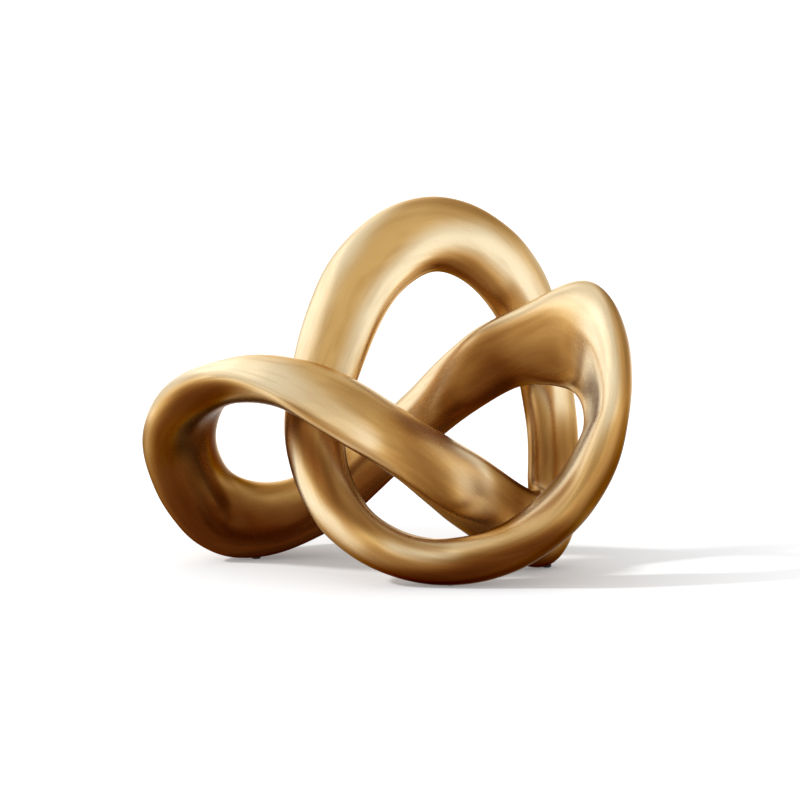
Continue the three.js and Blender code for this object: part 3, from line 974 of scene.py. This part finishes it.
def paint_finish(mesh, kept):
    for field, values, at_heart in FINISH_FIELDS:
        layer = mesh.attributes.new(field, "FLOAT", "POINT")
        layer.data.foreach_set("value", np.append(values[kept].reshape(-1), [at_heart, at_heart]))
    layer = mesh.attributes.new("brushing", "FLOAT_VECTOR", "POINT")
    layer.data.foreach_set("vector", brushing_of(kept).reshape(-1))
    mesh.materials.append(GOLD)
    mesh.update()


def fit_piece(prefix, node, mesh):
    piece = bpy.data.objects.new(prefix + node, mesh)
    bpy.context.collection.objects.link(piece)
    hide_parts(node)
    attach(piece, "root")
    return piece


for name, start, end in CASTINGS:
    kept = rings_of(start, end)
    mesh = casting_mesh(name, kept)
    paint_finish(mesh, kept)
    piece = fit_piece("gold_", name, mesh)
    print(piece.name, "faces", len(mesh.polygons))

# %% [markdown]
# ## Steel dowels
# The dowels sit inside the joints and never show on a whole sculpture. Their solids are already
# right, so they stay and only get a ground steel finish.

# %% Steel finish on the dowels
STEEL_DARK = (0.50, 0.51, 0.53, 1)
STEEL_LIGHT = (0.62, 0.63, 0.65, 1)
STEEL_ROUGHNESS = (0.25, 0.4)
STEEL_SCALE, FINE_DETAIL = 700.0, 3.0


def speckled_finish(name, scale, dark, light, roughness):
    material, nodes, links = new_material(name)
    shader = nodes["Principled BSDF"]
    speck = noise_of(nodes, links, own_space(nodes), scale, FINE_DETAIL)
    links.new(mix_colour(nodes, links, speck, dark, light), shader.inputs["Base Color"])
    links.new(map_range(nodes, links, speck, NOISE_SPREAD, roughness), shader.inputs["Roughness"])
    return material


STEEL = speckled_finish("ground_steel", STEEL_SCALE, STEEL_DARK, STEEL_LIGHT, STEEL_ROUGHNESS)
STEEL.node_tree.nodes["Principled BSDF"].inputs["Metallic"].default_value = 1.0
for joint in JOINTS:
    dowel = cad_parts[joint + "_dowel"]
    dowel.data.materials.clear()
    dowel.data.materials.append(STEEL)
print("dowels:", len(JOINTS))

# %% [markdown]
# ## Rubber pads
# Three black rubber buttons are glued into round recesses under the band. A cylinder with a bevel
# would do, but a turned profile gives the soft rim directly: it is swept round its axis. Each row
# of the profile holds a radius and a height in millimetres, from the middle of the underside to
# the middle of the top.

# %% Make the pads
PAD_PROFILE = [
    (0, 0), (1.6, 0), (2.3, 0.05), (2.7, 0.2), (2.9, 0.45),
    (3.0, 0.8), (3.0, 2.9), (2.85, 3.3), (0, 3.4),
]
PAD_SIDES = 48
RUBBER_DARK = (0.012, 0.012, 0.012, 1)
RUBBER_LIGHT = (0.03, 0.03, 0.03, 1)
RUBBER_ROUGHNESS = (0.7, 0.9)
RUBBER_SCALE = 1500.0
RUBBER = speckled_finish("black_rubber", RUBBER_SCALE, RUBBER_DARK, RUBBER_LIGHT, RUBBER_ROUGHNESS)


def pad_points(node):
    pad_low, pad_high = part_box(node)
    x, y = (pad_low[0] + pad_high[0]) / 2, (pad_low[1] + pad_high[1]) / 2
    points = [(x, y, pad_low[2])]
    for radius, height in PAD_PROFILE[1:-1]:
        for k in range(PAD_SIDES):
            a = 2 * math.pi * k / PAD_SIDES
            out, along = radius * MM * math.cos(a), radius * MM * math.sin(a)
            points.append((x + out, y + along, pad_low[2] + height * MM))
    points.append((x, y, pad_low[2] + PAD_PROFILE[-1][1] * MM))
    return points


def pad_faces():
    faces = []
    hoops = len(PAD_PROFILE) - 2
    top = 1 + (hoops - 1) * PAD_SIDES
    for k in range(PAD_SIDES):
        n = (k + 1) % PAD_SIDES
        faces.append((0, 1 + n, 1 + k))
        for h in range(hoops - 1):
            a, b = 1 + h * PAD_SIDES, 1 + (h + 1) * PAD_SIDES
            faces.append((a + k, a + n, b + n, b + k))
        faces.append((top + k, top + n, top + PAD_SIDES))
    return faces


for node in ("ring_pad", "rear_pad", "left_pad"):
    mesh = bpy.data.meshes.new(node)
    mesh.from_pydata(pad_points(node), [], pad_faces())
    mesh.polygons.foreach_set("use_smooth", [True] * len(mesh.polygons))
    mesh.materials.append(RUBBER)
    piece = fit_piece("rubber_", node, mesh)
    print(piece.name, "faces", len(mesh.polygons))

# %% [markdown]
# ## Camera
# The object is seen from the front, a little above the table, with a long lens from well over a
# metre away. A camera can be aimed by a constraint, but a plain turn is easier to repeat.

# %% Camera
ELEVATION = math.radians(6.3)
AIM = Vector((9.21, 9.05, 103.90)) * MM
DISTANCE = 1368.9 * MM
LENS, SENSOR = 100, 36
FARTHEST = 100
camera = bpy.data.objects.new("camera", bpy.data.cameras.new("camera"))
camera.data.lens = LENS
camera.data.sensor_width = SENSOR
camera.data.clip_end = FARTHEST
forward = Vector((0, math.cos(ELEVATION), -math.sin(ELEVATION)))
camera.location = AIM - forward * DISTANCE
camera.rotation_euler = forward.to_track_quat("-Z", "Y").to_euler()
bpy.context.collection.objects.link(camera)
bpy.context.scene.camera = camera
print("camera at", [round(v, 3) for v in camera.location])

# %% [markdown]
# ## Table and backdrop
# The object stands on a wide sheet of white paper, with another sheet behind it. To light paper
# to pure white takes strong lamps, and they would bleach the metal. So the paper glows a little
# by itself, but only where the camera sees it or the metal mirrors it, and the lamps stay weak.
# To the camera the glow is low beside the object and rises further away, a painted shade that
# darkens the floor near the object, so the shadow fades out.

# %% Floor and backdrop
PAPER = (0.6, 0.6, 0.6, 1)
GLOW_RANGE = (0.3, 1.5)
# The lower glow round this middle point is a painted shade on the floor beside the object.
FADE_MIDDLE = (0.02, 0.06, 0.0)
FADE_RANGE = (0.09, 0.25)
FLOOR_MIRRORED, FLOOR_SEEN = (0.31, 0.5), (0.18, 0.47)
WALL_GLOW = (0.8, 0.8)
FLOOR_HALF = 30.0
WALL_AT, WALL_HALF, WALL_TOP = 2.5, 0.9, 1.6


def distance_from(nodes, links, coords, middle):
    node = add_node(nodes, "ShaderNodeVectorMath", operation="DISTANCE")
    links.new(coords, node.inputs[0])
    node.inputs[1].default_value = middle
    return node.outputs["Value"]


def paper_finish(name, mirrored, seen):
    material, nodes, links = new_material(name)
    nodes.remove(nodes["Principled BSDF"])
    paper = add_node(nodes, "ShaderNodeBsdfDiffuse")
    paper.inputs["Color"].default_value = PAPER
    coords = own_space(nodes)
    from_origin = distance_from(nodes, links, coords, (0, 0, 0))
    from_object = distance_from(nodes, links, coords, FADE_MIDDLE)
    mirrored_level = map_range(nodes, links, from_origin, GLOW_RANGE, mirrored)
    # Lower glow near the object: painted shade on the floor.
    seen_level = map_range(nodes, links, from_object, FADE_RANGE, seen)
    ray = add_node(nodes, "ShaderNodeLightPath").outputs
    mirror = combine(nodes, links, "ADD", ray["Is Glossy Ray"], ray["Is Transmission Ray"])
    in_metal = combine(nodes, links, "MULTIPLY", mirror, mirrored_level)
    in_view = combine(nodes, links, "MULTIPLY", ray["Is Camera Ray"], seen_level)
    glow = add_node(nodes, "ShaderNodeEmission")
    links.new(combine(nodes, links, "ADD", in_metal, in_view), glow.inputs["Strength"])
    both = add_node(nodes, "ShaderNodeAddShader")
    links.new(paper.outputs[0], both.inputs[0])
    links.new(glow.outputs[0], both.inputs[1])
    links.new(both.outputs[0], nodes["Material Output"].inputs["Surface"])
    return material


def flat_sheet(name, points, paper):
    mesh = bpy.data.meshes.new(name)
    mesh.from_pydata(points, [], [(0, 1, 2, 3)])
    mesh.materials.append(paper)
    sheet = bpy.data.objects.new(name, mesh)
    bpy.context.collection.objects.link(sheet)


floor_paper = paper_finish("white_floor", FLOOR_MIRRORED, FLOOR_SEEN)
floor_corners = [(-1, -1), (1, -1), (1, 1), (-1, 1)]
flat_sheet("floor", [(FLOOR_HALF * x, FLOOR_HALF * y, 0) for x, y in floor_corners], floor_paper)
wall_paper = paper_finish("white_wall", WALL_GLOW, WALL_GLOW)
wall_corners = [(-1, 0), (1, 0), (1, 1), (-1, 1)]
flat_sheet("backdrop", [(WALL_HALF * x, WALL_AT, WALL_TOP * z) for x, z in wall_corners], wall_paper)
print("floor", FLOOR_HALF * 2, "m, backdrop", WALL_HALF * 2, "m wide")

# %% [markdown]
# ## Lamps and room
# Metal shows what surrounds it, so the room matters more than the lamps. Most of the light comes
# from an even white room. Five weak soft lamps, on the left, low in front, on the right, behind
# and above, add slow differences. A sun from the left doesn't show in the metal. It only throws
# the long shadow on the table. Each lamp's row holds its place, the height it is aimed at, its
# width and height, all in metres, its power in watts and its colour.

# %% Lamps and room
WHITE, COOL = (1.0, 1.0, 1.0), (0.95, 1.0, 1.1)
LAMPS = [
    ("left_lamp", (-1.4, 0.4, 0.8), 0.1, 1.7, 1.6, 4.2, COOL),
    ("low_lamp", (-1.1, -0.85, 0.42), 0.12, 0.9, 0.5, 1.2, COOL),
    ("right_lamp", (1.45, -0.5, 0.6), 0.12, 2.1, 1.1, 2.2, COOL),
    ("back_lamp", (-0.3, 1.2, 1.3), 0.1, 1.1, 1.0, 1.0, WHITE),
    ("top_lamp", (0.0, -0.9, 1.5), 0.1, 2.2, 0.8, 0.8, WHITE),
]
SUN_WAY = Vector((0.79, 0.21, -0.57))
SUN_STRENGTH, SUN_ANGLE = 2.8, math.radians(5)
ROOM_LIGHT = 0.78


def hang(name, light, way):
    thing = bpy.data.objects.new(name, light)
    thing.rotation_euler = way.to_track_quat("-Z", "Y").to_euler()
    bpy.context.collection.objects.link(thing)
    return thing


for name, place, aim, width, height, power, colour in LAMPS:
    lamp = bpy.data.lights.new(name, "AREA")
    lamp.shape = "RECTANGLE"
    lamp.size, lamp.size_y = width, height
    lamp.energy = power
    lamp.color = colour
    thing = hang(name, lamp, Vector((0, 0, aim)) - Vector(place))
    thing.location = place
sun = bpy.data.lights.new("floor_sun", "SUN")
sun.energy = SUN_STRENGTH
sun.angle = SUN_ANGLE
floor_sun = hang("floor_sun", sun, SUN_WAY)
floor_sun.visible_glossy = False

world = bpy.data.worlds.new("room")
bpy.context.scene.world = world
world.use_nodes = True
room = world.node_tree.nodes["Background"]
room.inputs["Color"].default_value = (*WHITE, 1)
room.inputs["Strength"].default_value = ROOM_LIGHT
bpy.context.scene.view_settings.view_transform = "Standard"
print("lamps:", len(LAMPS), "and a sun")
